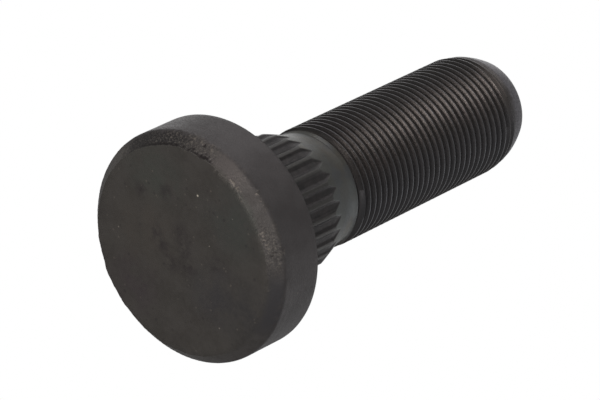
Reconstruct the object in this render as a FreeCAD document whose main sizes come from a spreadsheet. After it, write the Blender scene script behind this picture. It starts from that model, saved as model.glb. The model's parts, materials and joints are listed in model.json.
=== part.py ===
import FreeCAD, Part
import os
import Sketcher

# Press-in wheel bolt: one forged and rolled piece with a round head, a knurled collar and a fine thread.
# It stands on the flat face of its head. The origin is the centre of that face, and +Z runs along the bolt
# to its threaded end. All sizes are in millimetres.

# Driving dimensions: the cell's alias, its value, and what it measures
DIMENSIONS = (
    ("overall_length", 84.5, "flat face of the head to the threaded end"),
    ("head_diameter", 41.4, "round head, across its side"),
    ("head_height", 11.0, "flat face of the head to its seat"),
    ("rim_width", 2.15, "bevelled rim around the flat face, across"),
    ("rim_height", 2.25, "bevelled rim, along the bolt"),
    ("rim_rounding", 1.2, "radius where the rim meets the head's side"),
    ("seat_bevel", 0.2, "bevel where the head's side meets its seat"),
    ("neck_relief", 0.3, "plain neck under the head, below the roots of the knurl"),
    ("neck_length", 2.0, "seat to the foot of the teeth's bevel"),
    ("neck_fillet", 1.5, "radius between the neck and the seat, which ends outside the crests"),
    ("knurl_diameter", 25.2, "knurl, across its crests"),
    ("knurl_length", 14.9, "seat to the end of the crests"),
    ("knurl_teeth", 29, "teeth around the knurl"),
    ("knurl_depth", 0.4, "crest to root"),
    ("crest_width", 0.6, "flat on the top of each tooth"),
    ("root_width", 1.1, "flat at the bottom of each groove"),
    ("knurl_start_bevel", 1.0, "bevel at the head end of the teeth, along the bolt"),
    ("knurl_end_bevel", 6.3, "bevel from the crests down to the shank, along the bolt"),
    ("groove_run_out", 2.7, "pointed end of each groove on that bevel, along the bolt"),
    ("point_width", 0.05, "tip of that pointed end, across"),
    ("bevel_fillet", 6.0, "radius between that bevel and the shank"),
    ("shank_diameter", 20.9, "plain shank, and the bare blank past the last thread"),
    ("plain_length", 24.2, "seat to the first thread"),
    ("thread_diameter", 22.0, "thread, across its crests"),
    ("thread_pitch", 1.5, "one turn of the thread, along the bolt"),
    ("tip_diameter", 17.3, "end face, inside the lead-in bevel"),
    ("tip_length", 4.2, "lead-in bevel, along the bolt"),
)
NECK_RADIUS = "Sizes.knurl_diameter / 2 - Sizes.knurl_depth - Sizes.neck_relief"
SAME_PLACE = 1e-4
FADED_TURNS = 2
RUN_IN_TURNS = 0.5


def make_sheet(doc):
    """The sheet of driving dimensions, one row for each."""
    sheet = doc.addObject("Spreadsheet::Sheet", "Sizes")
    for row, (alias, value, meaning) in enumerate(DIMENSIONS, start=1):
        sheet.set(f"A{row}", alias)
        sheet.set(f"B{row}", str(value))
        sheet.set(f"C{row}", meaning)
        sheet.setAlias(f"B{row}", alias)
    doc.recompute()
    return sheet


def origin_feature(body, role):
    """The body's own origin plane or axis with that role."""
    return next(feature for feature in body.Origin.OriginFeatures if feature.Role == role)


def new_sketch(body, name, plane):
    """An empty sketch on one of the body's origin planes."""
    sketch = body.newObject("Sketcher::SketchObject", name)
    sketch.AttachmentSupport = [(origin_feature(body, plane), "")]
    sketch.MapMode = "FlatFace"
    return sketch


def bind(sketch, constraint, expression):
    """Adds a dimension to a sketch and ties it to the sheet."""
    index = sketch.addConstraint(constraint)
    sketch.setExpression(f"Constraints[{index}]", expression)


def draw_loop(sketch, points):
    """A closed loop of straight lines. Line i starts at point i."""
    count = len(points)
    for i in range(count):
        sketch.addGeometry(Part.LineSegment(points[i], points[(i + 1) % count]))
    for i in range(count):
        sketch.addConstraint(Sketcher.Constraint("Coincident", i, 2, (i + 1) % count, 1))


def draw_outline(sketch, corners):
    """A closed outline, dimensioned corner by corner. A corner is a pair of expressions, across and along.

    A side whose two ends share an expression is upright or level, and carries no second dimension.
    A corner at zero lies on the sketch's own axis.
    """
    points = [FreeCAD.Vector(sketch.evalExpression(x), sketch.evalExpression(y), 0) for x, y in corners]
    count = len(points)
    draw_loop(sketch, points)
    for i, (across, along) in enumerate(corners):
        before_across, before_along = corners[i - 1]
        if across == "0":
            sketch.addConstraint(Sketcher.Constraint("PointOnObject", i, 1, -2))
        elif across == before_across:
            sketch.addConstraint(Sketcher.Constraint("Vertical", (i - 1) % count))
        else:
            bind(sketch, Sketcher.Constraint("DistanceX", -1, 1, i, 1, points[i].x), across)
        if along == "0":
            sketch.addConstraint(Sketcher.Constraint("PointOnObject", i, 1, -1))
        elif along == before_along:
            sketch.addConstraint(Sketcher.Constraint("Horizontal", (i - 1) % count))
        else:
            bind(sketch, Sketcher.Constraint("DistanceY", -1, 1, i, 1, points[i].y), along)


def turn_blank(body):
    """The whole bolt as a turned blank, with the knurl and the thread at their crests."""
    head = "Sizes.head_diameter / 2"
    knurl = "Sizes.knurl_diameter / 2"
    shank = "Sizes.shank_diameter / 2"
    thread = "Sizes.thread_diameter / 2"
    tip = "Sizes.tip_diameter / 2"
    seat = "Sizes.head_height"
    neck_end = f"{seat} + Sizes.neck_length"
    teeth_start = f"{neck_end} + Sizes.knurl_start_bevel"
    teeth_end = f"{seat} + Sizes.knurl_length"
    shank_start = f"{teeth_end} + Sizes.knurl_end_bevel"
    thread_start = f"{seat} + Sizes.plain_length"
    full_thread = f"{thread_start} + {RUN_IN_TURNS} * Sizes.thread_pitch"
    end = "Sizes.overall_length"
    tip_start = f"{end} - Sizes.tip_length"
    thread_fades = f"{tip_start} - {FADED_TURNS} * Sizes.thread_pitch"

    sketch = new_sketch(body, "Profile", "XZ_Plane")
    draw_outline(sketch, (
        ("0", "0"),
        (f"{head} - Sizes.rim_width", "0"),
        (head, "Sizes.rim_height"),
        (head, f"{seat} - Sizes.seat_bevel"),
        (f"{head} - Sizes.seat_bevel", seat),
        (NECK_RADIUS, seat),
        (NECK_RADIUS, neck_end),
        (knurl, teeth_start),
        (knurl, teeth_end),
        (shank, shank_start),
        (shank, thread_start),
        (thread, full_thread),
        (thread, thread_fades),
        (shank, tip_start),
        (tip, end),
        ("0", end),
    ))
    blank = body.newObject("PartDesign::Revolution", "Blank")
    blank.Profile = sketch
    blank.ReferenceAxis = (sketch, ["V_Axis"])
    blank.Angle = 360
    return blank


def ring_edge(base, radius, height):
    """The name of the round edge with that radius at that height."""
    for number, edge in enumerate(base.Shape.Edges, start=1):
        curve = edge.Curve
        if not isinstance(curve, Part.Circle):
            continue
        if abs(curve.Radius - radius) < SAME_PLACE and abs(curve.Center.z - height) < SAME_PLACE:
            return f"Edge{number}"
    raise RuntimeError(f"no round edge of radius {radius} at height {height}")


def round_edge(body, base, name, ring, height, rounding):
    """Rounds one round edge of the base. The ring's radius, its height and the rounding are expressions."""
    body.Document.recompute()
    fillet = body.newObject("PartDesign::Fillet", name)
    fillet.Base = (base, [ring_edge(base, base.evalExpression(ring), base.evalExpression(height))])
    fillet.setExpression("Radius", rounding)
    return fillet


def draw_groove(body, name, height, root, root_width):
    """Section of a groove at a height: flat root and sloping flanks, which go on past the crests."""
    crest_space = "(pi * Sizes.knurl_diameter / Sizes.knurl_teeth - Sizes.crest_width)"
    outside = f"{root} + 2 * Sizes.knurl_depth"
    half_root = f"{root_width} / 2"
    half_outside = f"{half_root} + {crest_space} - Sizes.root_width"

    sketch = new_sketch(body, name, "XY_Plane")
    sketch.setExpression("AttachmentOffset.Base.z", height)
    x_root, x_outside, y_root, y_outside = (
        sketch.evalExpression(expression) for expression in (root, outside, half_root, half_outside)
    )
    draw_loop(sketch, (
        FreeCAD.Vector(x_root, -y_root, 0),
        FreeCAD.Vector(x_outside, -y_outside, 0),
        FreeCAD.Vector(x_outside, y_outside, 0),
        FreeCAD.Vector(x_root, y_root, 0),
    ))
    sketch.addConstraint(Sketcher.Constraint("Symmetric", 0, 1, 3, 1, -1))
    sketch.addConstraint(Sketcher.Constraint("Symmetric", 1, 1, 2, 1, -1))
    bind(sketch, Sketcher.Constraint("DistanceX", -1, 1, 3, 1, x_root), root)
    bind(sketch, Sketcher.Constraint("DistanceX", -1, 1, 2, 1, x_outside), outside)
    bind(sketch, Sketcher.Constraint("DistanceY", -1, 1, 3, 1, y_root), half_root)
    bind(sketch, Sketcher.Constraint("DistanceY", -1, 1, 2, 1, y_outside), half_outside)
    return sketch


def cut_knurl(body):
    """Grooves between the teeth: one straight cut with a pointed end on the bevel, repeated around the bolt."""
    crest = "Sizes.knurl_diameter / 2"
    root = f"{crest} - Sizes.knurl_depth"
    start = "Sizes.head_height + Sizes.neck_length / 2"
    crests_end = "Sizes.head_height + Sizes.knurl_length"
    bevel_slope = f"({crest} - Sizes.shank_diameter / 2) / Sizes.knurl_end_bevel"

    section = draw_groove(body, "Groove", start, root, "Sizes.root_width")
    groove = body.newObject("PartDesign::Pocket", "FirstGroove")
    groove.Profile = section
    groove.Reversed = True
    groove.setExpression("Length", "Sizes.knurl_length - Sizes.neck_length / 2")

    last_section = draw_groove(body, "GrooveEnd", crests_end, root, "Sizes.root_width")
    point = draw_groove(
        body, "GroovePoint", f"{crests_end} + Sizes.groove_run_out",
        f"{crest} - {bevel_slope} * Sizes.groove_run_out", "Sizes.point_width",
    )
    run_out = body.newObject("PartDesign::SubtractiveLoft", "FirstRunOut")
    run_out.Profile = last_section
    run_out.Sections = [point]
    run_out.Ruled = True

    knurl = body.newObject("PartDesign::PolarPattern", "Knurl")
    knurl.Originals = [groove, run_out]
    knurl.Axis = (origin_feature(body, "Z_Axis"), [""])
    knurl.Angle = 360
    knurl.setExpression("Occurrences", "Sizes.knurl_teeth")
    body.Tip = knurl


def make_wheel_bolt(doc):
    """The bolt as one body: turned blank, rounded edges, then the knurl."""
    body = doc.addObject("PartDesign::Body", "WheelBolt")
    body.Label = "wheel_bolt"
    body.Placement = FreeCAD.Placement()
    blank = turn_blank(body)
    rim = round_edge(
        body, blank, "RimRounding", "Sizes.head_diameter / 2", "Sizes.rim_height", "Sizes.rim_rounding"
    )
    neck = round_edge(body, rim, "NeckFillet", NECK_RADIUS, "Sizes.head_height", "Sizes.neck_fillet")
    round_edge(
        body, neck, "BevelFillet", "Sizes.shank_diameter / 2",
        "Sizes.head_height + Sizes.knurl_length + Sizes.knurl_end_bevel", "Sizes.bevel_fillet",
    )
    doc.recompute()
    before = body.Shape.Volume
    cut_knurl(body)
    doc.recompute()
    if body.Shape.Volume >= before:
        raise RuntimeError("the knurl's grooves cut nothing")
    return body


def check(doc, bodies):
    """Stops the build if any object failed or a body's shape isn't one valid solid."""
    for item in doc.Objects:
        if "Invalid" in item.State or "Error" in item.State:
            raise RuntimeError(f"{item.Name} failed: {item.State}")
    for body in bodies:
        shape = body.Shape
        if shape.isNull() or not shape.isValid() or len(shape.Solids) != 1:
            raise RuntimeError(f"{body.Label} isn't one valid solid")


def main():
    doc = FreeCAD.newDocument("WheelBolt")
    make_sheet(doc)
    bodies = [make_wheel_bolt(doc)]
    check(doc, bodies)
    os.makedirs("parts", exist_ok=True)
    for body in bodies:
        body.Shape.exportStep(f"parts/{body.Label}.step")
        print(body.Label, "volume", round(body.Shape.Volume, 1), "box", body.Shape.BoundBox)


main()
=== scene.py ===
import json
import math

import bpy
import numpy as np
from mathutils import Matrix, Vector, noise


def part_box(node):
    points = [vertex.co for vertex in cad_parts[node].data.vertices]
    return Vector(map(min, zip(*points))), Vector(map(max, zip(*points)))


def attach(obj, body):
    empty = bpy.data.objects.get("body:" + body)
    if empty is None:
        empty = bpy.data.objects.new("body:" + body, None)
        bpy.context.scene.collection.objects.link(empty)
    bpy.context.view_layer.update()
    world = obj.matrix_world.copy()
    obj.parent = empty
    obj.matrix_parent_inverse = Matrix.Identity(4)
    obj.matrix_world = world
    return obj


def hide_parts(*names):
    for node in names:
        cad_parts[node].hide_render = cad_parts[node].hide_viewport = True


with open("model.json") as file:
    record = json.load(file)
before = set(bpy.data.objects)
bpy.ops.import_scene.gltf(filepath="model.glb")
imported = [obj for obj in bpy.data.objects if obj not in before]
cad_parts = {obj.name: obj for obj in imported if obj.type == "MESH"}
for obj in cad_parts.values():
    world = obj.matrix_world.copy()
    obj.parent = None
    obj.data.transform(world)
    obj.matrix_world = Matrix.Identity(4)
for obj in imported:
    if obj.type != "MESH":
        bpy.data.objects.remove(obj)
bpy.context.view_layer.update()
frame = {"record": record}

# A press-in wheel bolt of blackened steel: forged head, pressed knurl, plain shank and rolled thread.
# It is one closed skin, wound from rings of points. Lengths are in millimetres and angles in degrees
# until the mesh is made. The scene itself is in metres.
MM = 0.001
NODE = "wheel_bolt"

# Sizes that the frame gives
MOUNTS = {mount["name"]: mount for mount in frame["record"]["mounts"]}
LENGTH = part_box(NODE)[1].z / MM
HEAD_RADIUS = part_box(NODE)[1].x / MM
SEAT = MOUNTS["head_seat"]["pos_m"][2] / MM
KNURL_RADIUS = MOUNTS["knurl"]["dims"]["r_mm"]
KNURL_MIDDLE = MOUNTS["knurl"]["pos_m"][2] / MM
KNURL_HALF_LENGTH = MOUNTS["knurl"]["dims"]["length_mm"] / 2
THREAD_RADIUS = MOUNTS["thread"]["dims"]["r_mm"]
THREAD_MIDDLE = MOUNTS["thread"]["pos_m"][2] / MM
THREAD_HALF_LENGTH = MOUNTS["thread"]["dims"]["length_mm"] / 2

# Head
RIM_WIDTH = 2.15
RIM_HEIGHT = 2.25
RIM_ROUNDING = 1.2
FACE_EDGE = HEAD_RADIUS - RIM_WIDTH
ROUGH_HEIGHT = RIM_HEIGHT + 2.2
SEAT_BEVEL = 0.2
SEAT_JOIN_RADIUS = 14.5

# Neck and knurl
NECK_RADIUS = 11.9
NECK_LENGTH = 2.0
NECK_FILLET = 1.5
CRESTS_START = KNURL_MIDDLE - KNURL_HALF_LENGTH
CRESTS_END = KNURL_MIDDLE + KNURL_HALF_LENGTH
KNURL_TEETH = 29
KNURL_DEPTH = 0.4
CREST_WIDTH = 0.6
ROOT_WIDTH = 1.1
KNURL_END_BEVEL = 6.3
GROOVE_RUN_OUT = 2.7

# Shank, thread and tip
SHANK_RADIUS = 10.45
SHANK_START = CRESTS_END + KNURL_END_BEVEL
SHANK_FILLET = 12.0
THREAD_PITCH = 1.5
THREAD_DEPTH = 0.92
THREAD_CREST_WIDTH = 0.19
THREAD_ROOT_WIDTH = 0.36
THREAD_ROUNDING = 0.03
THREAD_CREST_AT = (217.5, 38.51)
THREAD_START = 33.1
GROOVE_FADE = 1.2
CREST_FADE = 1.9
THREAD_END_FADE = (77.9, 81.3)
TIP_RADIUS = 8.65
TIP_LENGTH = 4.2
TIP_ROUNDING = 0.5
TIP_CROWN = 0.12

# The mesh: points around each stretch, how far rows lie apart, and how many rows or steps a form has
RIM_COLUMNS = 32 * KNURL_TEETH
HEAD_COLUMNS = 16 * KNURL_TEETH
SHANK_COLUMNS = 8 * KNURL_TEETH
RIM_ROW = 0.14
ROUGH_SIDE_ROW = 1.6 * RIM_ROW
SIDE_ROW = 0.65
SEAT_EDGE_ROW = 0.3
RIM_ROUNDING_STEPS = 6
NECK_FILLET_STEPS = 5
KNURL_BEVEL_ROWS = 4
CREST_ROWS = 9
RUN_OUT_ROWS = 16
SHANK_FILLET_STEPS = 8
SHANK_ROWS = 5
THREAD_TURNS = 34
SPARE_TURNS = 2
STRIP_MARGIN = 0.15
TIP_ROUNDING_STEPS = 4
SHARP_ANGLE = 50.0
# Rings of the head's face and of the flat end: points around, and radius
FACE_MARGIN = 1.2
FACE_RINGS = (
    (2 * KNURL_TEETH, 2.5),
    (2 * KNURL_TEETH, 5.5),
    (4 * KNURL_TEETH, 9.0),
    (8 * KNURL_TEETH, 13.0),
    (16 * KNURL_TEETH, 16.5),
    (16 * KNURL_TEETH, FACE_EDGE - FACE_MARGIN),
)
END_RINGS = ((SHANK_COLUMNS, 7.6), (SHANK_COLUMNS // 2, 5.0), (SHANK_COLUMNS // 4, 2.0))

# What each point keeps for the materials: how far it stands out of the plain form, in tenths of a millimetre,
# how far across the rim it lies (0 at the face, 1 at the side), and how rough the forging left it
MARKS = ("relief", "across", "rough")
RELIEF_UNIT = 0.1
PAST_RIM = 2.0

# Noise of the shapes: how it moves with its seed, and how each octave fades and gets finer
SEED_STEPS = (1.0, 2.3, 3.7)
OCTAVE_FADE = 0.9
OCTAVE_STEP = 2.1
# Its uses: size of a feature, octaves and seed
RIM_SCALE = (1.2, 3, 3.0)
RIM_GRAIN = (0.42, 3, 8.0)
RIM_EDGE = (2.4, 5, 21.0)
SIDE_WAVES = (3.0, 3, 30.0)
TOOTH_WEAR = (0.9, 3, 40.0)


def smooth(value, low, high):
    """0 below low, 1 above high, and an even rise between them."""
    share = np.clip((value - low) / (high - low), 0.0, 1.0)
    return share * share * (3.0 - 2.0 * share)


def bump(angle, centre, half_width):
    """1 at the centre angle, falling off to nothing on both sides of it."""
    away = (np.asarray(angle) - centre + 180.0) % 360.0 - 180.0
    return np.exp(-((away / half_width) ** 2))


def evenly(count):
    """Angles of that many points around the bolt."""
    return np.linspace(0.0, 360.0, count, endpoint=False)


def around(angles, radius, height):
    """Points at those angles. Radius and height may differ by angle."""
    turns = np.radians(angles)
    return np.stack(np.broadcast_arrays(radius * np.cos(turns), radius * np.sin(turns), height), axis=1)


def ripple(points, size, octaves, seed):
    """Fractal noise of about -1 to 1 at each point, with that size of feature."""
    shift = Vector([seed * step for step in SEED_STEPS])
    places = [Vector(point) / size + shift for point in points]
    return np.array([noise.fractal(place, OCTAVE_FADE, OCTAVE_STEP, octaves) for place in places])


def fillet(before, corner, after, radius, steps):
    """Points of the arc that rounds a corner of an outline."""
    before, corner, after = Vector(before), Vector(corner), Vector(after)
    come = (corner - before).normalized()
    leave = (after - corner).normalized()
    half_turn = come.angle(leave) / 2.0
    reach = radius * math.tan(half_turn)
    centre = corner + (leave - come).normalized() * radius / math.cos(half_turn)
    start = corner - come * reach - centre
    end = corner + leave * reach - centre
    return [tuple(centre + start.slerp(end, step / steps) * radius) for step in range(steps + 1)]


def fill(start, end, spacing):
    """Points from start to end, no further apart than the spacing, without the last one."""
    count = max(1, math.ceil(math.dist(start, end) / spacing))
    return [tuple(Vector(start).lerp(Vector(end), step / count)) for step in range(count)]


class Skin:
    """Rings of points joined by faces, each face in one zone of the finish."""

    def __init__(self):
        self.points = []
        self.marks = {name: [] for name in MARKS}
        self.faces = []
        self.zones = []

    def ring(self, angles, radius, height, **marks):
        """Adds a ring of points and returns their numbers. Radius, height and marks may differ by angle."""
        first = len(self.points)
        self.points.extend(around(angles, radius, height).tolist())
        for name, values in self.marks.items():
            values.extend(np.broadcast_to(marks.get(name, 0.0), np.shape(angles)).tolist())
        return list(range(first, len(self.points)))

    def face(self, corners, zone):
        self.faces.append(tuple(corners))
        self.zones.append(zone)

    def join(self, lower, upper, zone):
        """Faces between a ring and the next along the outline, which may have half or twice its points."""
        count = min(len(lower), len(upper))
        for i in range(count):
            j = (i + 1) % count
            if len(lower) == len(upper):
                self.face((lower[i], lower[j], upper[j], upper[i]), zone)
            elif len(lower) < len(upper):
                left, middle, right = upper[2 * i], upper[2 * i + 1], upper[2 * j]
                self.face((lower[i], middle, left), zone)
                self.face((lower[i], lower[j], middle), zone)
                self.face((lower[j], right, middle), zone)
            else:
                left, middle, right = lower[2 * i], lower[2 * i + 1], lower[2 * j]
                self.face((left, middle, upper[i]), zone)
                self.face((middle, upper[j], upper[i]), zone)
                self.face((middle, right, upper[j]), zone)


# Where the rim is roughest: angle around the bolt, half width and strength
ROUGH_STRETCHES = (
    (168.0, 16.0, 0.5),
    (206.0, 18.0, 1.0),
    (224.0, 7.0, 0.5),
    (246.0, 6.0, 0.35),
    (284.0, 13.0, 0.8),
    (60.0, 40.0, 0.7),
    (120.0, 25.0, 0.5),
)
# Forging folds along the rim: angle, half width, place across the rim (0 at the face) and depth
FOLDS = ((200.0, 26.0, 0.1, 0.05), (223.0, 5.0, 0.05, 0.09), (75.0, 30.0, 0.2, 0.05))
# Burrs on the rim: angle, half width, place across the rim and height
BURRS = (
    (218.0, 7.0, 0.8, 0.05),
    (247.0, 6.0, 0.12, 0.16),
    (258.0, 8.0, 0.9, 0.1),
    (277.0, 6.0, 0.2, 0.09),
    (287.0, 4.0, 0.9, 0.07),
    (304.0, 3.0, 0.1, 0.09),
    (95.0, 12.0, 0.7, 0.07),
)
FOLD_HALF_WIDTH = 0.16
BURR_HALF_WIDTH = 0.12
# How far the edge between the face and the rim strays where the rim is rough, the share of the rim over which
# this dies out, and where a blow rounded the edge back: angle, half width and distance
RAGGED = 0.3
RAGGED_REACH = 0.625
EASED = (325.0, 24.0, 0.6)
# The roughness that the whole rim has, the heights of its scale and grain where it is roughest, how uneven
# the folds are, and how soon the grain lets a burr rise
PLAIN_ROUGHNESS = 0.16
SCALE_HEIGHT = 0.03
GRAIN_HEIGHT = 0.05
FOLD_UNEVENNESS = 0.7
BURR_GAIN = 1.6
# How far each row of the rim stays above the one before it at least, and how deep the side's waves go
ROW_LIFT = 0.02
WAVE_DEPTH = 0.012


def rim_roughness(angles):
    """How rough the forging left the rim at each angle, from about 0 to 1."""
    return PLAIN_ROUGHNESS + sum(
        strength * bump(angles, centre, half_width) for centre, half_width, strength in ROUGH_STRETCHES
    )


def rim_relief(points, angles, across):
    """How far the forged rim stands out of its plain form at a share of its width, from the face outwards."""
    scale = ripple(points, *RIM_SCALE)
    grain = ripple(points, *RIM_GRAIN)
    relief = rim_roughness(angles) * (SCALE_HEIGHT * scale + GRAIN_HEIGHT * grain)
    uneven = 1.0 + FOLD_UNEVENNESS * scale
    for angle, half_width, place, depth in FOLDS:
        beside = (across - place) / FOLD_HALF_WIDTH
        relief -= depth * bump(angles, angle, half_width) * np.exp(-beside * beside) * uneven
    ragged = np.clip(BURR_GAIN * grain, 0.0, 1.0)
    for angle, half_width, place, height in BURRS:
        beside = (across - place) / BURR_HALF_WIDTH
        relief += height * bump(angles, angle, half_width) * np.exp(-beside * beside) * ragged
    return relief


def head_outline():
    """Edge of the face, rows of the rough rim and rows of the plain side, each as (radius, height)."""
    face_edge = (FACE_EDGE, 0.0)
    rim_corner = (HEAD_RADIUS, RIM_HEIGHT)
    rough_end = (HEAD_RADIUS, ROUGH_HEIGHT)
    side_end = (HEAD_RADIUS, SEAT - SEAT_BEVEL)
    seat_edge = (HEAD_RADIUS - SEAT_BEVEL, SEAT)
    rounding = fillet(face_edge, rim_corner, side_end, RIM_ROUNDING, RIM_ROUNDING_STEPS)
    rim = fill(face_edge, rounding[0], RIM_ROW)[1:] + rounding[:-1]
    rough = rim + fill(rounding[-1], rough_end, ROUGH_SIDE_ROW)
    plain = fill(rough_end, side_end, SIDE_ROW) + [side_end, seat_edge]
    return face_edge, rough, plain


def add_face(skin, edge_radius):
    """The flat face of the head, from its middle to its ragged edge. Returns the outer ring."""
    rings = [skin.ring(evenly(columns), radius, 0.0) for columns, radius in FACE_RINGS]
    rings.append(skin.ring(evenly(RIM_COLUMNS), edge_radius, 0.0))
    centre = skin.ring(np.array([0.0]), 0.0, 0.0)[0]
    first = rings[0]
    for i, number in enumerate(first):
        skin.face((centre, first[(i + 1) % len(first)], number), "head")
    for lower, upper in zip(rings, rings[1:]):
        skin.join(lower, upper, "head")
    return rings[-1]


def row_normal(before, after):
    """Outward direction of an outline between two of its points, as (across, along)."""
    across, along = after[0] - before[0], after[1] - before[1]
    length = math.hypot(across, along)
    return along / length, -across / length


def add_head(skin):
    """Face, forged rim, side and seat. Returns the ring on the seat where the shaft begins."""
    face_edge, rough, plain = head_outline()
    angles = evenly(RIM_COLUMNS)
    roughness = rim_roughness(angles)
    eased_angle, eased_width, eased = EASED
    strayed = RAGGED * roughness * ripple(around(angles, FACE_EDGE, 0.0), *RIM_EDGE)
    strayed -= eased * bump(angles, eased_angle, eased_width)
    ring = add_face(skin, FACE_EDGE + strayed)
    outline = [face_edge] + rough + plain
    rim_length = math.hypot(RIM_WIDTH, RIM_HEIGHT)
    for number, (radius, height) in enumerate(rough, start=1):
        outward, upward = row_normal(outline[number - 1], outline[number + 1])
        points = around(angles, radius, height)
        across = math.dist((radius, height), face_edge) / rim_length
        fade = 1.0 - smooth(height, RIM_HEIGHT, ROUGH_HEIGHT)
        relief = fade * rim_relief(points, angles, across)
        slide = strayed * max(0.0, 1.0 - across / RAGGED_REACH) ** 2
        lifted = np.maximum(height + upward * relief, ROW_LIFT * number)
        reach = np.minimum(radius + outward * relief, HEAD_RADIUS) + slide
        marks = {"relief": relief / RELIEF_UNIT, "across": across, "rough": fade * roughness}
        upper = skin.ring(angles, reach, lifted, **marks)
        skin.join(ring, upper, "head")
        ring = upper
    angles = evenly(HEAD_COLUMNS)
    for radius, height in plain:
        waves = np.clip(ripple(around(angles, radius, height), *SIDE_WAVES), -1.0, 1.0) - 1.0
        upper = skin.ring(angles, radius + WAVE_DEPTH * waves, height, across=PAST_RIM)
        skin.join(ring, upper, "head")
        ring = upper
    for radius in (HEAD_RADIUS - SEAT_BEVEL - SEAT_EDGE_ROW, SEAT_JOIN_RADIUS):
        upper = skin.ring(angles, radius, SEAT, across=PAST_RIM)
        skin.join(ring, upper, "head")
        ring = upper
    return ring


def blank_radius(height):
    """Radius without grooves or thread: a short bevel, the crests, and a long fall with a rounded foot."""
    rise = [(NECK_RADIUS, SEAT + NECK_LENGTH), (KNURL_RADIUS, CRESTS_START)]
    fall_start = (KNURL_RADIUS, CRESTS_END)
    fall_end = (SHANK_RADIUS, SHANK_START)
    foot = fillet(fall_start, fall_end, (SHANK_RADIUS, LENGTH), SHANK_FILLET, SHANK_FILLET_STEPS)
    radii, heights = zip(*(rise + [fall_start] + foot))
    return np.interp(height, heights, radii)


def groove_depth(angles, height):
    """Depth of the knurl's grooves at each angle. They narrow to a point on the fall of the collar."""
    tooth_pitch = 2.0 * math.pi * KNURL_RADIUS / KNURL_TEETH
    widening = (tooth_pitch - CREST_WIDTH - ROOT_WIDTH) / 2.0 / KNURL_DEPTH
    share = min(1.0, max(0.0, (CRESTS_END + GROOVE_RUN_OUT - height) / GROOVE_RUN_OUT))
    spacing = 360.0 / KNURL_TEETH
    away = np.radians(np.abs((angles + spacing / 2.0) % spacing - spacing / 2.0)) * KNURL_RADIUS
    flank = (share * ROOT_WIDTH / 2.0 - away) / widening + share * KNURL_DEPTH
    return np.clip(flank, 0.0, share * KNURL_DEPTH)


def knurl_heights():
    """Heights of the rows of the collar, close together where its grooves begin and end."""
    bevel_rows = np.linspace(SEAT + NECK_LENGTH, CRESTS_START, KNURL_BEVEL_ROWS)
    crest_rows = np.linspace(CRESTS_START, CRESTS_END, CREST_ROWS)[1:]
    run_out_rows = np.linspace(CRESTS_END, CRESTS_END + GROOVE_RUN_OUT, RUN_OUT_ROWS)[1:]
    return np.concatenate((bevel_rows, crest_rows, run_out_rows))


# Scuffs along the crests of the teeth: how deep they are, how far they go down into a groove and up the fall
SCUFF_DEPTH = 0.03
SCUFF_INTO_GROOVE = 0.15
SCUFF_UP_FALL = 1.0


def add_neck_and_knurl(skin, ring):
    """Neck fillet and teeth, up to the points of their grooves. Returns the last ring and its height."""
    angles = evenly(HEAD_COLUMNS)
    seat_join = (SEAT_JOIN_RADIUS, SEAT)
    neck_corner = (NECK_RADIUS, SEAT)
    neck_end = (NECK_RADIUS, SEAT + NECK_LENGTH)
    for radius, height in fillet(seat_join, neck_corner, neck_end, NECK_FILLET, NECK_FILLET_STEPS):
        upper = skin.ring(angles, radius, height)
        skin.join(ring, upper, "shaft")
        ring = upper
    for height in knurl_heights():
        radius = blank_radius(height)
        room = max(0.0, radius - NECK_RADIUS) if height < CRESTS_START else KNURL_DEPTH
        depth = np.minimum(groove_depth(angles, height), room)
        worn = SCUFF_DEPTH * np.clip(ripple(around(angles, radius, height), *TOOTH_WEAR), 0.0, 1.0)
        on_crest = smooth(depth, SCUFF_INTO_GROOVE, 0.0)
        scuffs = worn * on_crest * smooth(height, CRESTS_END + SCUFF_UP_FALL, CRESTS_END)
        upper = skin.ring(angles, radius - depth - scuffs, height, relief=-depth / RELIEF_UNIT)
        skin.join(ring, upper, "shaft")
        ring = upper
    return ring, height


def helix_foot():
    """Height where the thread's strip begins: a turn or more below the thread, to keep its end smooth."""
    crest_angle, crest_height = THREAD_CREST_AT
    crest_offset = crest_height - THREAD_PITCH * (crest_angle / 360.0 + 0.5)
    turns_below = math.floor((crest_offset - THREAD_START) / THREAD_PITCH) + SPARE_TURNS
    return crest_offset - THREAD_PITCH * turns_below


def add_shank(skin, ring, start):
    """The rest of the fall to the shank, up to just below the thread. Returns its last ring."""
    for height in np.linspace(start, helix_foot() - STRIP_MARGIN, SHANK_ROWS + 1)[1:]:
        upper = skin.ring(evenly(SHANK_COLUMNS), blank_radius(height), height)
        skin.join(ring, upper, "shaft")
        ring = upper
    return ring


def thread_rows():
    """Section of the thread over one pitch, from the middle of a root: (share of the pitch, radius)."""
    root = THREAD_RADIUS - THREAD_DEPTH
    root_edge = THREAD_ROOT_WIDTH / THREAD_PITCH / 2.0
    crest_edge = 0.5 - THREAD_CREST_WIDTH / THREAD_PITCH / 2.0
    return (
        (0.0, root),
        (root_edge, root + THREAD_ROUNDING),
        (crest_edge, THREAD_RADIUS),
        (1.0 - crest_edge, THREAD_RADIUS),
        (1.0 - root_edge, root + THREAD_ROUNDING),
    )


def tip_limit(height):
    """The most that the radius can be at each height: the last crests fall away, then the bevelled tip."""
    tip_start = LENGTH - TIP_LENGTH
    crests_end = THREAD_MIDDLE + THREAD_HALF_LENGTH
    along = np.clip((height - tip_start) / TIP_LENGTH, 0.0, 1.0)
    falling = np.interp(height, (crests_end, tip_start, LENGTH), (THREAD_RADIUS, SHANK_RADIUS, TIP_RADIUS))
    return falling + TIP_CROWN * np.sin(np.pi * along)


# The rolling dies met the blank late around this angle: angle, half width and delay
LATE_START = (305.0, 42.0, 1.2)


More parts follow.
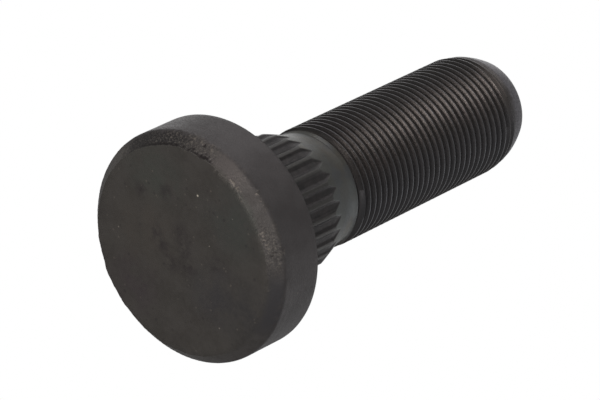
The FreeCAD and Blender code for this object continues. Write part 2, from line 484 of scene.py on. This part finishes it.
def thread_radius(angles, heights, section):
    """Radius of the thread along one row of its section. Its grooves begin before its crests rise."""
    late_angle, late_width, delay = LATE_START
    start = THREAD_START + delay * bump(angles, late_angle, late_width)
    blank = blank_radius(heights)
    begun = smooth(heights, start, start + np.where(section > blank, CREST_FADE, GROOVE_FADE))
    radius = blank + (section - blank) * begun
    limit = tip_limit(heights)
    radius = np.minimum(radius, limit)
    return radius + (limit - radius) * smooth(heights, *THREAD_END_FADE)


def add_thread(skin, ring):
    """The thread, wound as one strip along its helix. Returns the ring of the tip above it and its height."""
    columns = SHANK_COLUMNS
    last = THREAD_TURNS * columns
    steps = np.arange(last + columns + 1)
    wound = 360.0 * steps / columns
    foot = helix_foot()
    numbers = []
    for row, (share, section) in enumerate(thread_rows()):
        used = wound if row == 0 else wound[: last + 1]
        heights = foot + THREAD_PITCH * (used / 360.0 + share)
        radii = thread_radius(used % 360.0, heights, section)
        relief = (radii - blank_radius(heights)) / RELIEF_UNIT
        numbers.append(skin.ring(used, radii, heights, relief=relief))
    rows = len(numbers)
    numbers.append(numbers[0][columns:])

    for i in range(last):
        for row in range(rows):
            corners = (numbers[row][i], numbers[row][i + 1], numbers[row + 1][i + 1], numbers[row + 1][i])
            skin.face(corners, "shaft")
    first_edge = [numbers[row][0] for row in range(rows + 1)]
    last_edge = [numbers[row][last] for row in range(rows, 0, -1)]
    lower, upper = numbers[0], numbers[rows][last - columns:]
    for i in range(columns - 1):
        skin.face((ring[i], ring[i + 1], lower[i + 1], lower[i]), "shaft")
    skin.face([ring[-1], ring[0]] + first_edge + [lower[columns - 1]], "shaft")

    above = foot + THREAD_PITCH * (THREAD_TURNS + 1) + STRIP_MARGIN
    ring = skin.ring(evenly(columns), tip_limit(above), above)
    skin.face([upper[0], upper[1], ring[1], ring[0]] + last_edge, "shaft")
    for i in range(1, columns):
        skin.face((upper[i], upper[i + 1], ring[(i + 1) % columns], ring[i]), "shaft")
    return ring, above


def add_tip(skin, ring, above):
    """The rest of the bevelled tip and the flat end."""
    bevel = (tip_limit(above), above)
    end_edge = (TIP_RADIUS, LENGTH)
    rounding = fillet(bevel, end_edge, (0.0, LENGTH), TIP_ROUNDING, TIP_ROUNDING_STEPS)
    rows = [(SHANK_COLUMNS, radius, height) for radius, height in rounding]
    rows += [(columns, radius, LENGTH) for columns, radius in END_RINGS]
    for columns, radius, height in rows:
        upper = skin.ring(evenly(columns), radius, height)
        skin.join(ring, upper, "shaft")
        ring = upper
    centre = skin.ring(np.array([0.0]), 0.0, LENGTH)[0]
    for i, number in enumerate(ring):
        skin.face((number, ring[(i + 1) % len(ring)], centre), "shaft")


def make_bolt(finishes):
    """The whole bolt as one mesh. Its zones take the finishes of the same name."""
    skin = Skin()
    ring = add_head(skin)
    ring, shank_start = add_neck_and_knurl(skin, ring)
    ring = add_shank(skin, ring, shank_start)
    ring, above = add_thread(skin, ring)
    add_tip(skin, ring, above)

    mesh = bpy.data.meshes.new("bolt_skin")
    mesh.from_pydata((np.array(skin.points) * MM).tolist(), [], skin.faces)
    names = list(finishes)
    for name in names:
        mesh.materials.append(finishes[name])
    mesh.polygons.foreach_set("material_index", [names.index(zone) for zone in skin.zones])
    mesh.polygons.foreach_set("use_smooth", [True] * len(skin.faces))
    mesh.set_sharp_from_angle(angle=math.radians(SHARP_ANGLE))
    for name, values in skin.marks.items():
        mesh.attributes.new(name, "FLOAT", "POINT").data.foreach_set("value", values)
    mesh.update()
    bolt = bpy.data.objects.new("bolt_skin", mesh)
    bpy.context.scene.collection.objects.link(bolt)
    return bolt


def linear(red, green, blue):
    """A screen colour of 0 to 255 as a shader colour."""
    shares = (value / 255.0 for value in (red, green, blue))
    levels = [share / 12.92 if share <= 0.04045 else ((share + 0.055) / 1.055) ** 2.4 for share in shares]
    return (*levels, 1.0)


class Nodes:
    """A node tree, with short ways to add to it."""

    def __init__(self, tree):
        self.tree = tree

    def node(self, kind, **settings):
        node = self.tree.nodes.new(kind)
        for name, value in settings.items():
            setattr(node, name, value)
        return node

    def put(self, socket, value):
        """Links an output to a socket, or sets the socket to a plain value."""
        if isinstance(value, bpy.types.NodeSocket):
            self.tree.links.new(value, socket)
        else:
            socket.default_value = value

    def math(self, operation, first, second, **settings):
        node = self.node("ShaderNodeMath", operation=operation, **settings)
        self.put(node.inputs[0], first)
        self.put(node.inputs[1], second)
        return node.outputs["Value"]

    def range(self, value, low, high, at_low=0.0, at_high=1.0):
        """Maps a value smoothly from one range to another, held at its ends."""
        node = self.node("ShaderNodeMapRange", interpolation_type="SMOOTHSTEP")
        names = ("Value", "From Min", "From Max", "To Min", "To Max")
        for name, given in zip(names, (value, low, high, at_low, at_high)):
            self.put(node.inputs[name], given)
        return node.outputs["Result"]

    def mix_shaders(self, factor, first, second):
        """One shader changing into another."""
        node = self.node("ShaderNodeMixShader")
        for socket, given in zip(node.inputs, (factor, first, second)):
            self.put(socket, given)
        return node.outputs["Shader"]


# Black oxide covers the steel: half of its light comes back dull, and its gloss stays low at a glance
METALLIC = 0.5
OXIDE_GLOSS = 0.0
EDGE_TINT = (0.7, 0.7, 0.7, 1.0)
# The share of a speck's size that shows in full
SPECK_CORE = 0.4


class Finish(Nodes):
    """A steel material. Its position is in millimetres."""

    def __init__(self, name):
        self.material = bpy.data.materials.new(name)
        self.material.use_nodes = True
        super().__init__(self.material.node_tree)
        self.shader = self.tree.nodes["Principled BSDF"]
        self.put(self.shader.inputs["Metallic"], METALLIC)
        self.put(self.shader.inputs["Specular IOR Level"], OXIDE_GLOSS)
        self.put(self.shader.inputs["Specular Tint"], EDGE_TINT)
        coordinates = self.node("ShaderNodeTexCoord")
        scaled = self.node("ShaderNodeVectorMath", operation="SCALE")
        self.put(scaled.inputs["Scale"], 1.0 / MM)
        self.put(scaled.inputs["Vector"], coordinates.outputs["Object"])
        self.position = scaled.outputs["Vector"]

    def moved(self, seed):
        """The position, moved so that each seed sees another part of a pattern."""
        node = self.node("ShaderNodeVectorMath", operation="ADD")
        self.put(node.inputs[0], self.position)
        self.put(node.inputs[1], (seed, 2.0 * seed, 3.0 * seed))
        return node.outputs["Vector"]

    def noise(self, size, detail=3.0, roughness=0.55, seed=0.0):
        """Soft noise of about 0 to 1, with features of that size in millimetres."""
        node = self.node("ShaderNodeTexNoise")
        self.put(node.inputs["Vector"], self.moved(seed))
        self.put(node.inputs["Scale"], 1.0 / size)
        self.put(node.inputs["Detail"], detail)
        self.put(node.inputs["Roughness"], roughness)
        return node.outputs["Fac"]

    def specks(self, spacing, size, seed=0.0):
        """1 on small scattered specks and 0 between them."""
        node = self.node("ShaderNodeTexVoronoi")
        self.put(node.inputs["Vector"], self.moved(seed))
        self.put(node.inputs["Scale"], 1.0 / spacing)
        return self.range(node.outputs["Distance"], size / spacing, SPECK_CORE * size / spacing)

    def near(self, point, inner, outer):
        """1 within the inner distance of a point, falling to 0 at the outer one."""
        node = self.node("ShaderNodeVectorMath", operation="DISTANCE")
        self.put(node.inputs[0], self.position)
        self.put(node.inputs[1], point)
        return self.range(node.outputs["Value"], outer, inner)

    def mix(self, factor, first, second):
        """One colour changing into another."""
        node = self.node("ShaderNodeMix", data_type="RGBA")
        self.put(node.inputs[0], factor)
        self.put(node.inputs[6], first)
        self.put(node.inputs[7], second)
        return node.outputs[2]

    def part(self, factor, share):
        """A factor weakened to a share of itself."""
        return self.math("MULTIPLY", factor, share)

    def radius(self):
        """Distance from the bolt's axis."""
        flat = self.node("ShaderNodeVectorMath", operation="MULTIPLY")
        self.put(flat.inputs[0], self.position)
        self.put(flat.inputs[1], (1.0, 1.0, 0.0))
        length = self.node("ShaderNodeVectorMath", operation="LENGTH")
        self.put(length.inputs[0], flat.outputs["Vector"])
        return length.outputs["Value"]

    def side(self, angle, half_width):
        """1 at an angle around the bolt, falling to 0 on both sides of it."""
        turn = math.radians(angle)
        node = self.node("ShaderNodeVectorMath", operation="DOT_PRODUCT")
        self.put(node.inputs[0], self.position)
        self.put(node.inputs[1], (math.cos(turn), math.sin(turn), 0.0))
        facing = self.math("DIVIDE", node.outputs["Value"], self.radius())
        return self.range(facing, math.cos(math.radians(half_width)), 1.0)

    def height(self):
        split = self.node("ShaderNodeSeparateXYZ")
        self.put(split.inputs[0], self.position)
        return split.outputs["Z"]

    def mark(self, name):
        """One of the marks that the skin keeps at each point."""
        node = self.node("ShaderNodeAttribute", attribute_name=name)
        return node.outputs["Fac"]

    def done(self, colour, roughness, height, depth):
        """Joins the colour, the roughness and a bump of that depth in millimetres to the shader."""
        self.put(self.shader.inputs["Base Color"], colour)
        self.put(self.shader.inputs["Roughness"], roughness)
        relief = self.node("ShaderNodeBump")
        self.put(relief.inputs["Height"], height)
        self.put(relief.inputs["Distance"], depth * MM)
        self.put(self.shader.inputs["Normal"], relief.outputs["Normal"])
        return self.material


# Marks on the face of the head: a place and a half size, and for the bright specks a strength
BRIGHT_SPECKS = (
    ((-7.9, -8.7, 0.0), 0.19, 0.9),
    ((-7.4, 11.8, 0.0), 0.14, 0.25),
    ((-2.3, -14.2, 0.0), 0.12, 0.15),
    ((0.7, -6.7, 0.0), 0.12, 0.3),
    ((14.3, -1.5, 0.0), 0.14, 0.25),
)
SMUDGES = (
    ((-2.5, -1.5, 0.0), 2.4),
    ((0.2, -0.8, 0.0), 1.8),
    ((2.9, 0.0, 0.0), 2.4),
    ((1.4, 3.3, 0.0), 2.0),
    ((-4.2, 4.1, 0.0), 2.2),
    ((-1.9, 3.4, 0.0), 1.6),
    ((3.7, -6.5, 0.0), 2.0),
    ((-10.4, -2.0, 0.0), 1.8),
    ((-12.0, 3.2, 0.0), 1.6),
)
# Parts of the face where the oxide has another tint: a place, how far it reaches, and the colour
TINTS = (
    ((-1.5, -14.5, 0.0), 10.0, (48, 49, 47)),
    ((-14.1, -1.6, 0.0), 9.0, (50, 51, 48)),
    ((2.4, 13.1, 0.0), 8.0, (48, 44, 45)),
    ((8.8, -3.6, 0.0), 8.0, (45, 44, 45)),
    ((13.6, -8.4, 0.0), 9.0, (44, 43, 43)),
    ((-4.9, 6.0, 0.0), 10.0, (53, 50, 47)),
)

# Stretches of the rim made darker and lighter, partly soot and bare metal and partly painted shade and
# painted light: a place on it, the distances at which the tint begins to fade and ends, and the colour
RIM_SOOT_AND_PAINTED_LIGHT = (
    ((-19.3, -3.4, 1.0), 5.0, 9.5, (36, 35, 35)),
    ((5.0, 18.9, 1.0), 5.0, 9.0, (36, 35, 35)),
    ((14.0, -14.0, 1.0), 3.0, 8.0, (46, 45, 46)),
    ((-10.5, -16.8, 1.0), 1.5, 5.0, (58, 55, 54)),
    ((-18.6, 6.6, 1.0), 1.5, 5.0, (57, 55, 53)),
)


def face_colour(steel):
    """Flat forged face: dark oxide in clouds of olive, brown and mauve, with smudges and small chips."""
    cloud = steel.range(steel.noise(5.0, 4.0), 0.35, 0.65)
    colour = steel.mix(cloud, linear(47, 45, 43), linear(52, 50, 48))
    blurred = steel.range(steel.noise(4.0, 4.0, seed=7.0), 0.3, 0.6, 0.2, 1.0)
    for place, reach, tint in TINTS:
        tinted = steel.math("MULTIPLY", steel.near(place, 0.1 * reach, reach), blurred)
        colour = steel.mix(tinted, colour, linear(*tint))
    worn = steel.range(steel.noise(1.4, 4.0, seed=3.0), 0.34, 0.58)
    for place, half_size in SMUDGES:
        smudge = steel.math("MULTIPLY", steel.near(place, 0.1 * half_size, 1.3 * half_size), worn)
        colour = steel.mix(steel.part(smudge, 0.7), colour, linear(38, 35, 36))
    fine = steel.range(steel.noise(0.8, 5.0, 0.65, seed=17.0), 0.35, 0.65)
    colour = steel.mix(steel.part(fine, 0.25), colour, linear(57, 55, 53))
    scattered = steel.range(steel.noise(5.0, 2.0, seed=13.0), 0.35, 0.6)
    dents = steel.math("MULTIPLY", steel.specks(1.9, 0.4, seed=5.0), scattered)
    colour = steel.mix(steel.part(dents, 0.45), colour, linear(37, 35, 36))
    chips = steel.math("MULTIPLY", steel.specks(1.7, 0.26), scattered)
    colour = steel.mix(steel.part(chips, 0.4), colour, linear(78, 73, 68))
    for place, half_size, strength in BRIGHT_SPECKS:
        speck = steel.near(place, 0.5 * half_size, 1.4 * half_size)
        colour = steel.mix(steel.part(speck, strength), colour, linear(140, 134, 124))
    return colour


def rim_colour(steel):
    """Hammered rim: brown-grey scale with stretches darkened and lightened partly by soot and bare metal and
    partly as painted shade and light, grit where it is rough, pale burrs and dark pits that are partly
    painted highlight and painted shade.
    """
    cloud = steel.range(steel.noise(2.2, 4.0), 0.38, 0.62)
    colour = steel.mix(cloud, linear(49, 47, 46), linear(54, 52, 51))
    # Partly soot and bare metal, partly painted shade and painted light.
    for place, inner, outer, tint in RIM_SOOT_AND_PAINTED_LIGHT:
        colour = steel.mix(steel.near(place, inner, outer), colour, linear(*tint))
    grit = steel.range(steel.noise(0.26, 3.0, 0.6, seed=11.0), 0.48, 0.66)
    gritty = steel.math("MULTIPLY", grit, steel.range(steel.mark("rough"), 0.2, 0.9))
    colour = steel.mix(gritty, colour, linear(67, 64, 61))
    relief = steel.mark("relief")
    # Painted shade in the pits and a painted highlight on the burrs, over scale and bare metal there.
    colour = steel.mix(steel.range(relief, -0.05, -0.6), colour, linear(30, 28, 28))
    return steel.mix(steel.range(relief, 0.1, 0.6), colour, linear(74, 70, 66))


def side_colour(steel):
    """Side and seat of the head: even dark oxide with soft clouds and faint specks."""
    cloud = steel.range(steel.noise(5.0, 4.0), 0.35, 0.65)
    colour = steel.mix(cloud, linear(48, 46, 46), linear(52, 50, 50))
    dots = steel.math("MULTIPLY", steel.specks(2.6, 0.22), steel.range(steel.noise(6.0, 1.0), 0.5, 0.62))
    return steel.mix(steel.part(dots, 0.35), colour, linear(92, 82, 76))


# Roughness of the head where its grain is low and high, and the depth of that grain
HEAD_ROUGHNESS = (0.42, 0.54)
HEAD_GRAIN_DEPTH = 0.05


def head_finish():
    """Forged head: face, rim and side run into each other along ragged edges."""
    steel = Finish("forged_head")
    across = steel.mark("across")
    wander = steel.range(steel.noise(1.1, 4.0), 0.2, 0.8, -0.25, 0.25)
    on_rim = steel.range(across, 0.0, steel.range(steel.mark("rough"), 0.1, 0.6, 0.4, 0.1))
    on_side = steel.range(steel.math("ADD", across, wander), 0.75, 1.15)
    colour = steel.mix(on_rim, face_colour(steel), rim_colour(steel))
    colour = steel.mix(on_side, colour, side_colour(steel))
    grain = steel.noise(0.35, 5.0, 0.65)
    return steel.done(colour, steel.range(grain, 0.3, 0.7, *HEAD_ROUGHNESS), grain, HEAD_GRAIN_DEPTH)


# Sides of the shaft with painted light: painted shade on one side of the thread, a painted glint on another,
# painted light and shade evened to one grey on a third, and a painted sheen on one side of the shank: an
# angle around the bolt and a half width
PAINTED_SHADE_SIDE = (194.0, 45.0)
PAINTED_GLINT_SIDE = (246.0, 16.0)
PAINTED_EVEN_TONE_SIDE = (312.0, 45.0)
PAINTED_SHEEN_SIDE = (290.0, 24.0)
# Where the colours of the shaft run into each other, from the first trace of one to all of it: the teeth's
# from the end of their crests, the thread's and the tip's from where each starts, and the root's painted
# light and the worn crest's as depths below the thread's radius
TEETH_TINT = (0.6, -0.4)
THREAD_TINT = (0.9, 2.6)
TIP_TINT = (-0.7, 1.1)
ROOT_PAINTED_LIGHT = (0.45, 0.85)
CREST_TINT = (0.08, 0.01)
# Roughness of the shaft where its grain is low and high, the share of it on the thread, and the grain's depth
SHAFT_ROUGHNESS = (0.36, 0.46)
ROLLED_ROUGHNESS = 0.75
SHAFT_GRAIN_DEPTH = 0.025


def satin_colour(steel):
    """Neck, knurl and shank: smooth olive-grey oxide with a painted sheen on one side, duller on the teeth,
    and dark between them with oxide and painted shade.
    """
    cloud = steel.range(steel.noise(4.0, 3.0), 0.35, 0.65)
    colour = steel.mix(cloud, linear(51, 51, 49), linear(55, 55, 53))
    warm = steel.range(steel.noise(4.5, 3.0, seed=23.0), 0.45, 0.65)
    colour = steel.mix(steel.part(warm, 0.6), colour, linear(56, 53, 49))
    cool = steel.range(steel.noise(4.5, 3.0, seed=31.0), 0.45, 0.65)
    colour = steel.mix(steel.part(cool, 0.6), colour, linear(52, 53, 55))
    # Painted sheen: one side of the shank and collar made paler.
    colour = steel.mix(steel.part(steel.side(*PAINTED_SHEEN_SIDE), 0.45), colour, linear(61, 63, 63))
    on_teeth = steel.range(steel.height(), *(CRESTS_END + height for height in TEETH_TINT))
    colour = steel.mix(on_teeth, colour, linear(46, 45, 44))
    # Dark in the knurl's grooves: oxide, and painted shade.
    groove_mottle = steel.range(steel.noise(1.2, 3.0, seed=5.0), 0.3, 0.7)
    groove = steel.mix(groove_mottle, linear(34, 33, 33), linear(40, 38, 38))
    return steel.mix(steel.range(steel.mark("relief"), -0.1, -0.8), colour, groove)


def thread_colour(steel):
    """Rolled thread: brown-black flanks with painted shade on one side and a painted glint on another, roots
    made paler as painted light, crests worn grey, and light and shade evened to one grey with paint on a
    third side.
    """
    cloud = steel.range(steel.noise(3.0, 4.0), 0.38, 0.62)
    colour = steel.mix(cloud, linear(41, 39, 38), linear(47, 44, 43))
    # Painted shade: one side of the thread made darker.
    colour = steel.mix(steel.part(steel.side(*PAINTED_SHADE_SIDE), 0.85), colour, linear(34, 33, 33))
    # Painted glint: the flanks on one side made paler.
    colour = steel.mix(steel.part(steel.side(*PAINTED_GLINT_SIDE), 0.5), colour, linear(54, 51, 49))
    # Painted light: the roots are made paler, against their shade.
    root = steel.range(steel.radius(), *(THREAD_RADIUS - depth for depth in ROOT_PAINTED_LIGHT))
    colour = steel.mix(root, colour, linear(62, 59, 57))
    crest = steel.range(steel.radius(), *(THREAD_RADIUS - depth for depth in CREST_TINT))
    patchy = steel.range(steel.noise(1.3, 3.0), 0.3, 0.65, 0.3, 1.0)
    colour = steel.mix(steel.math("MULTIPLY", crest, patchy), colour, linear(53, 52, 53))
    # Painted light and shade: on one side the whole thread is pulled towards one even grey, flattening its
    # light and shade.
    return steel.mix(steel.part(steel.side(*PAINTED_EVEN_TONE_SIDE), 0.6), colour, linear(49, 49, 51))


def tip_colour(steel):
    """Bevelled tip: bare, slightly purple grey with a fine grain and light flecks."""
    speckle = steel.range(steel.noise(0.35, 3.0), 0.35, 0.65)
    colour = steel.mix(speckle, linear(55, 54, 56), linear(75, 73, 76))
    flecks = steel.math("MULTIPLY", steel.specks(1.1, 0.14), steel.range(steel.noise(3.0, 1.0), 0.45, 0.6))
    return steel.mix(steel.part(flecks, 0.5), colour, linear(100, 98, 100))


def shaft_finish():
    """Shaft: satin shank, rolled thread and grainy tip, each running into the next."""
    steel = Finish("rolled_shaft")
    wander = steel.range(steel.noise(1.8, 3.0), 0.2, 0.8, -0.3, 0.3)
    along = steel.math("ADD", steel.height(), wander)
    on_thread = steel.range(along, *(THREAD_START + height for height in THREAD_TINT))
    on_tip = steel.range(along, *(LENGTH - TIP_LENGTH + height for height in TIP_TINT))
    colour = steel.mix(on_thread, satin_colour(steel), thread_colour(steel))
    colour = steel.mix(on_tip, colour, tip_colour(steel))
    burnished = steel.math("SUBTRACT", on_thread, on_tip)
    grain = steel.noise(0.4, 4.0, 0.6)
    satin = steel.range(grain, 0.3, 0.7, *SHAFT_ROUGHNESS)
    rolled = steel.range(burnished, 0.0, 1.0, 1.0, ROLLED_ROUGHNESS)
    return steel.done(colour, steel.math("MULTIPLY", satin, rolled), grain, SHAFT_GRAIN_DEPTH)


# The photograph's view of the bolt, which looks at the face of the head from below
VIEW_AZIMUTH = -5.0
VIEW_ELEVATION = -45.54
VIEW_ROLL = 64.21
VIEW_DISTANCE = 741.6
VIEW_AIM = (0.9, -0.1, 30.9)
VIEW_LENS = 258.0
SENSOR = 36.0
# The nearest and the furthest that the camera sees, in metres
CLIP = (0.01, 10.0)


def view_axes():
    """Right, up and towards the camera in the photograph, as directions in the bolt's frame."""
    turn = math.radians(VIEW_AZIMUTH)
    tilt = math.radians(VIEW_ELEVATION)
    roll = math.radians(VIEW_ROLL)
    back = Vector((math.sin(turn) * math.cos(tilt), -math.cos(turn) * math.cos(tilt), math.sin(tilt)))
    level_right = Vector((math.cos(turn), math.sin(turn), 0.0))
    level_up = back.cross(level_right)
    right = level_right * math.cos(roll) + level_up * math.sin(roll)
    return right, back.cross(right), back


def add_camera():
    data = bpy.data.cameras.new("camera")
    data.sensor_width = SENSOR
    data.lens = VIEW_LENS
    data.clip_start, data.clip_end = CLIP
    camera = bpy.data.objects.new("camera", data)
    right, up, back = view_axes()
    place = Matrix.Translation((Vector(VIEW_AIM) + back * VIEW_DISTANCE) * MM)
    camera.matrix_world = place @ Matrix((right, up, back)).transposed().to_4x4()
    bpy.context.scene.collection.objects.link(camera)
    bpy.context.scene.camera = camera


# Soft lamps: where each stands in the photograph (right, up, towards the camera), its width and distance in
# millimetres, its power in watts and its colour
WIDE = 240.0
NARROW = 140.0
AWAY = 500.0
LAMPS = {
    "overhead": ((0.23, 0.87, -0.43), WIDE, AWAY, 0.44, (0.97, 0.97, 1.0)),
    "upper_right": ((0.60, 0.79, -0.13), WIDE, AWAY, 0.5, (0.98, 0.98, 1.0)),
    "right": ((0.97, 0.05, -0.22), WIDE, AWAY, 0.19, (0.96, 0.98, 1.0)),
    "low_right": ((0.83, -0.36, -0.43), WIDE, AWAY, 0.6, (0.96, 0.98, 1.0)),
    "low_back": ((0.49, -0.44, -0.75), WIDE, AWAY, 0.24, (0.96, 0.98, 1.0)),
    "top_back": ((-0.09, 0.46, -0.88), WIDE, AWAY, 0.1, (0.97, 0.97, 1.0)),
    "front": ((0.0, 0.1, 0.99), WIDE, AWAY, 0.68, (1.0, 0.96, 0.94)),
    "front_upper": ((-0.2, 0.43, 0.88), WIDE, AWAY, 0.53, (1.0, 0.96, 0.95)),
    "left": ((-0.6, 0.06, 0.79), NARROW, AWAY, 0.6, (1.0, 0.95, 0.92)),
    "left_front": ((-0.47, -0.05, 0.88), NARROW, AWAY, 1.2, (1.0, 0.95, 0.92)),
    "low_front": ((0.2, -0.43, 0.88), WIDE, AWAY, 0.54, (0.98, 0.98, 1.0)),
    "top": ((0.0, 1.0, 0.1), WIDE, AWAY, 1.2, (1.0, 0.99, 0.99)),
}
# One more lamp above the bolt as it stands: its direction in the bolt's own frame, and the same values
TOP_LAMP = ((-0.35, 0.45, 0.82), 360.0, 520.0, 0.8, (1.0, 1.0, 1.0))


def add_lamp(name, direction, width, distance, power, colour):
    """A square soft lamp that faces the middle of the bolt from a direction."""
    data = bpy.data.lights.new(name, "AREA")
    data.shape = "SQUARE"
    data.size = width * MM
    data.energy = power
    data.color = colour
    lamp = bpy.data.objects.new(name, data)
    direction = direction.normalized()
    lamp.location = (Vector((0.0, 0.0, LENGTH / 2.0)) + direction * distance) * MM
    lamp.rotation_euler = direction.to_track_quat("Z", "Y").to_euler()
    bpy.context.scene.collection.objects.link(lamp)


def add_lamps():
    right, up, back = view_axes()
    for name, ((to_right, to_up, to_back), *settings) in LAMPS.items():
        add_lamp(name, right * to_right + up * to_up + back * to_back, *settings)
    direction, *settings = TOP_LAMP
    add_lamp("above", Vector(direction), *settings)


# The background as the camera and the gloss see it, and the strength of its soft light on the bolt
WHITE = (1.0, 1.0, 1.0, 1.0)
BACKGROUND = 1.0
AMBIENT = 0.45


def add_world():
    """White where the camera looks past the bolt and in its gloss, and a plain level for soft light."""
    world = bpy.data.worlds.new("studio")
    world.use_nodes = True
    nodes = Nodes(world.node_tree)
    nodes.tree.nodes.clear()
    path = nodes.node("ShaderNodeLightPath")
    seen = path.outputs["Is Camera Ray"]
    for name in ("Is Glossy Ray", "Is Transmission Ray"):
        seen = nodes.math("MAXIMUM", seen, path.outputs[name])
    shaders = []
    for strength in (AMBIENT, BACKGROUND):
        background = nodes.node("ShaderNodeBackground")
        nodes.put(background.inputs["Color"], WHITE)
        nodes.put(background.inputs["Strength"], strength)
        shaders.append(background.outputs["Background"])
    output = nodes.node("ShaderNodeOutputWorld")
    nodes.put(output.inputs["Surface"], nodes.mix_shaders(seen, *shaders))
    bpy.context.scene.world = world


# The floor: its size, how far it lies below the bolt, its colour, and the distances from the bolt at which it
# begins to whiten and is as white as the background
FLOOR_HALF_WIDTH = 6000.0
FLOOR_DROP = 0.05
FLOOR_COLOUR = (0.9, 0.9, 0.9, 1.0)
FLOOR_WHITENS = (120.0, 500.0)


def floor_finish():
    """Pale floor that only a camera above it sees. Everything else goes through it. Further from the bolt it
    runs into the white background."""
    material = bpy.data.materials.new("pale_floor")
    material.use_nodes = True
    nodes = Nodes(material.node_tree)
    nodes.tree.nodes.clear()
    path = nodes.node("ShaderNodeLightPath")
    side = nodes.node("ShaderNodeNewGeometry")
    above = nodes.math("SUBTRACT", path.outputs["Is Camera Ray"], side.outputs["Backfacing"], use_clamp=True)
    clear = nodes.node("ShaderNodeBsdfTransparent")
    pale = nodes.node("ShaderNodeBsdfDiffuse")
    nodes.put(pale.inputs["Color"], FLOOR_COLOUR)
    white = nodes.node("ShaderNodeEmission")
    nodes.put(white.inputs["Color"], WHITE)
    coordinates = nodes.node("ShaderNodeTexCoord")
    away = nodes.node("ShaderNodeVectorMath", operation="LENGTH")
    nodes.put(away.inputs[0], coordinates.outputs["Object"])
    far = nodes.range(away.outputs["Value"], *(distance * MM for distance in FLOOR_WHITENS))
    ground = nodes.mix_shaders(far, pale.outputs["BSDF"], white.outputs["Emission"])
    output = nodes.node("ShaderNodeOutputMaterial")
    nodes.put(output.inputs["Surface"], nodes.mix_shaders(above, clear.outputs["BSDF"], ground))
    return material


def add_floor():
    half = FLOOR_HALF_WIDTH * MM
    corners = [(-half, -half, 0.0), (half, -half, 0.0), (half, half, 0.0), (-half, half, 0.0)]
    mesh = bpy.data.meshes.new("floor")
    mesh.from_pydata(corners, [], [(0, 1, 2, 3)])
    mesh.materials.append(floor_finish())
    floor = bpy.data.objects.new("floor", mesh)
    floor.location.z = -FLOOR_DROP * MM
    bpy.context.scene.collection.objects.link(floor)


bolt = make_bolt({"head": head_finish(), "shaft": shaft_finish()})
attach(bolt, "root")
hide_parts(NODE)

add_camera()
add_lamps()
add_world()
add_floor()
bpy.context.scene.view_settings.view_transform = "Standard"
